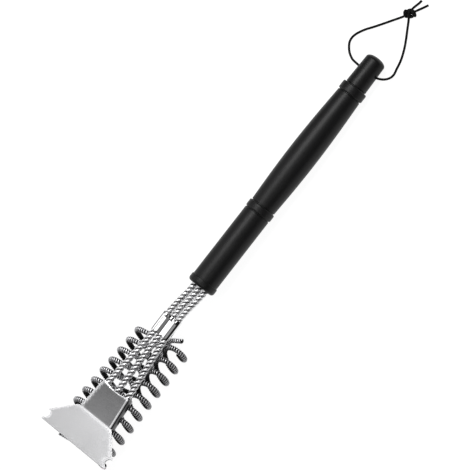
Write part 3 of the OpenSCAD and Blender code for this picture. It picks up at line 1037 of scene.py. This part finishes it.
class BRUSH_OT_stage(PieceOperator, bpy.types.Operator):
    """Pale floor, soft lights and the camera"""
    bl_idname = "grill_brush.stage"
    bl_label = "Stage"

    def lamp(self, name, place, aim, size, bright):
        """Soft rectangular light, as bright as a white card at strength 1"""
        data = bpy.data.lights.new(name, "AREA")
        data.shape = "RECTANGLE"
        data.size, data.size_y = size
        data.energy = bright * pi * size[0] * size[1]
        obj = linked(name, data)
        obj.location = place
        obj.rotation_euler = Vector(aim).to_track_quat("-Z", "Y").to_euler()

    def execute(self, context):
        plan, brush = self.ready(context)
        stage = brush.stage
        self.camera(plan, stage, context.scene)
        self.floor()
        self.world(context.scene, stage.world)
        down, inward = (0, 0, -1), (0, 1, 0)
        self.lamp("key_light", (-0.08, -0.45, 1.0), down, (0.44, 0.40), stage.key)
        self.lamp("handle_light", (-0.43, -0.21, 1.01), down, (0.66, 0.36), stage.grip)
        self.lamp("side_light", (0.4, -1.0, 0.9), inward, (1.0, 1.4), stage.side)
        self.lamp("front_light", (0.38, 0.33, 1.0), down, (0.64, 1.14), stage.front)
        context.scene.view_settings.view_transform = "Standard"
        return {"FINISHED"}

    def camera(self, plan, stage, scene):
        """Camera over the middle of the brush, turned so that the head points down to the left"""
        away = pi / 2 - stage.elevation
        side, back = sin(away), cos(away)
        left, down = 0.6136, 0.7896
        middle_x, middle_off = 211.5, 4.3
        across = Vector((-left, down * back, -down * side))
        upward = Vector((-down, -left * back, left * side))
        toward = Vector((0, side, back))
        middle = Vector((middle_x, -middle_off * back, middle_off * side))
        seat = middle + toward * stage.distance * 1000
        tilt = Matrix.Rotation(-plan.tilt, 3, "Y")
        place = plan.world(plan.tilted([seat]))[0]
        data = bpy.data.cameras.new("camera")
        data.lens = stage.focal
        data.sensor_width = 36
        camera = linked("camera", data)
        turn = Matrix((tilt @ across, tilt @ upward, tilt @ toward)).transposed().to_4x4()
        camera.matrix_world = Matrix.Translation(Vector(place)) @ turn
        scene.camera = camera

    def floor(self):
        """Pale floor: white where it is seen or mirrored, grey for the light that it throws up"""
        mesh = bpy.data.meshes.new("floor")
        mesh.from_pydata([(-3, -3, 0), (3, -3, 0), (3, 3, 0), (-3, 3, 0)], [], [(0, 1, 2, 3)])
        g = new_material("pale_floor")
        grey, pale = (g.node("ShaderNodeBsdfDiffuse", None, {"Color": (shade, shade, shade, 1)})
                      for shade in (0.50, 0.16))
        glow = g.node("ShaderNodeEmission", None, {"Color": (1, 1, 1, 1), "Strength": 0.94})
        seen = 0.0
        for kind in ("Is Camera Ray", "Is Glossy Ray", "Is Transmission Ray"):
            ray = g.node("ShaderNodeLightPath", out=kind)
            seen = g.node("ShaderNodeMath", {"operation": "MAXIMUM"}, {0: seen, 1: ray})
        both = g.node("ShaderNodeAddShader", None, {0: pale, 1: glow})
        surface = g.node("ShaderNodeMixShader", None, {0: seen, 1: grey, 2: both})
        g.node("ShaderNodeOutputMaterial", None, {"Surface": surface})
        mesh.materials.append(g.look[0])
        linked("floor", mesh)

    def world(self, scene, strength):
        """Even light from all round"""
        world = bpy.data.worlds.new("studio")
        scene.world = world
        world.use_nodes = True
        g = Graph(world.node_tree)
        sky = g.node("ShaderNodeBackground", None, {"Color": (1, 1, 1, 1), "Strength": strength})
        g.node("ShaderNodeOutputWorld", None, {"Surface": sky})


class BRUSH_PT_panel(bpy.types.Panel):
    """Lists the pieces of the grill brush"""
    bl_idname = "BRUSH_PT_panel"
    bl_label = "Grill Brush"
    bl_space_type = "VIEW_3D"
    bl_region_type = "UI"
    bl_category = "Grill Brush"

    def draw(self, context):
        column = self.layout.column()
        for piece in PIECES:
            column.operator(piece.bl_idname)
        brush = context.scene.grill_brush
        for group in (brush.handle, brush.coils, brush.scraper, brush.finishes):
            box = self.layout.box()
            for prop in group.bl_rna.properties:
                if prop.identifier not in ("rna_type", "name"):
                    box.prop(group, prop.identifier)


PIECES = (BRUSH_OT_stage, BRUSH_OT_cord, BRUSH_OT_handle, BRUSH_OT_stems, BRUSH_OT_coils,
          BRUSH_OT_sleeve, BRUSH_OT_scraper)
GROUPS = (HandleSizes, StemSizes, CoilSizes, SleeveSizes, ScraperSizes, CordSizes, Finishes,
          StageValues, BrushSettings)
CLASSES = GROUPS + PIECES + (BRUSH_PT_panel,)


def register():
    for item in CLASSES:
        bpy.utils.register_class(item)
    bpy.types.Scene.grill_brush = PointerProperty(type=BrushSettings, name="Grill brush")


def unregister():
    del bpy.types.Scene.grill_brush
    for item in reversed(CLASSES):
        bpy.utils.unregister_class(item)


def main():
    register()
    bpy.ops.grill_brush.stage()
    bpy.ops.grill_brush.cord()
    bpy.ops.grill_brush.handle()
    bpy.ops.grill_brush.stems()
    bpy.ops.grill_brush.coils()
    bpy.ops.grill_brush.sleeve()
    bpy.ops.grill_brush.scraper()
    bpy.context.view_layer.update()


if __name__ == "__main__":
    main()
